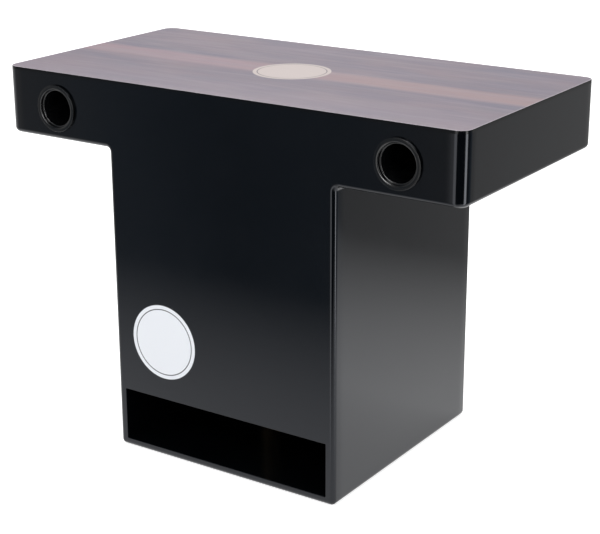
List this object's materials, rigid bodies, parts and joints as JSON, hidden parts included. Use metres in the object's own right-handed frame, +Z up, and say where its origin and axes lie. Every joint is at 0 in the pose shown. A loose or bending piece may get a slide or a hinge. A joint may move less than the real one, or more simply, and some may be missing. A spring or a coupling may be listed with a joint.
{
  "type": "slap-top cajon",
  "caption": "Slap-top cajon: a wide shallow sound box on a square pedestal, with round sound ports, a sound slot and internal snare wires on a throw-off lever.",
  "frame": {"origin": "centre of the pedestal's underside, which the drum stands on", "axes": "+Z up, -Y out of the front with the sound slot and the ports, +Y towards the player, +X along the wings to the right as seen from the front"},
  "size_m": [0.5, 0.2775, 0.368],
  "materials": {
    "black_lacquer": "board with satin black lacquer",
    "plate_veneer": "satin grey-mauve straight-grained veneer with a paler stripe and a dark edge",
    "port_plastic": "glossy black moulded plastic",
    "pine": "raw planed softwood",
    "beech": "raw planed hardwood",
    "steel": "plated steel",
    "nylon": "natural nylon",
    "grip_plastic": "black moulded plastic"
  },
  "bodies": {
    "cabinet": {"front_panel": "black_lacquer", "back_panel": "black_lacquer", "left_side_panel": "black_lacquer", "right_side_panel": "black_lacquer", "left_wing_end": "black_lacquer", "right_wing_end": "black_lacquer", "left_wing_floor": "black_lacquer", "right_wing_floor": "black_lacquer", "base_panel": "black_lacquer", "playing_surface": "plate_veneer", "left_port_tube": "port_plastic", "right_port_tube": "port_plastic", "front_left_batten": "pine", "front_right_batten": "pine", "back_left_batten": "pine", "back_right_batten": "pine", "front_ledger": "pine", "back_ledger": "pine", "left_ledger": "pine", "right_ledger": "pine", "left_rod_bearing": "nylon", "right_rod_bearing": "nylon", "left_bearing_screw_front": "steel", "left_bearing_screw_back": "steel", "right_bearing_screw_front": "steel", "right_bearing_screw_back": "steel", "lever_slot_plate": "grip_plastic", "slot_plate_screw_left": "steel", "slot_plate_screw_right": "steel"},
    "snare_throw": {"throw_off_rod": "steel", "left_rod_collar": "steel", "right_rod_collar": "steel", "left_snare_carrier": "beech", "right_snare_carrier": "beech", "left_carrier_set_screw": "steel", "right_carrier_set_screw": "steel", "left_snare_clamp": "steel", "right_snare_clamp": "steel", "left_clamp_screw_inner": "steel", "left_clamp_screw_outer": "steel", "right_clamp_screw_inner": "steel", "right_clamp_screw_outer": "steel", "left_snare_wires": "steel", "right_snare_wires": "steel", "throw_off_lever": "steel", "lever_set_screw": "steel", "lever_grip": "grip_plastic"}
  },
  "joints": [
    {"name": "snare_throw_off", "type": "hinge", "parent": "cabinet", "child": "snare_throw", "pos_m": [0, 0.083, 0.3315], "axis": [1, 0, 0], "range_deg": [0, 10]}
  ]
}
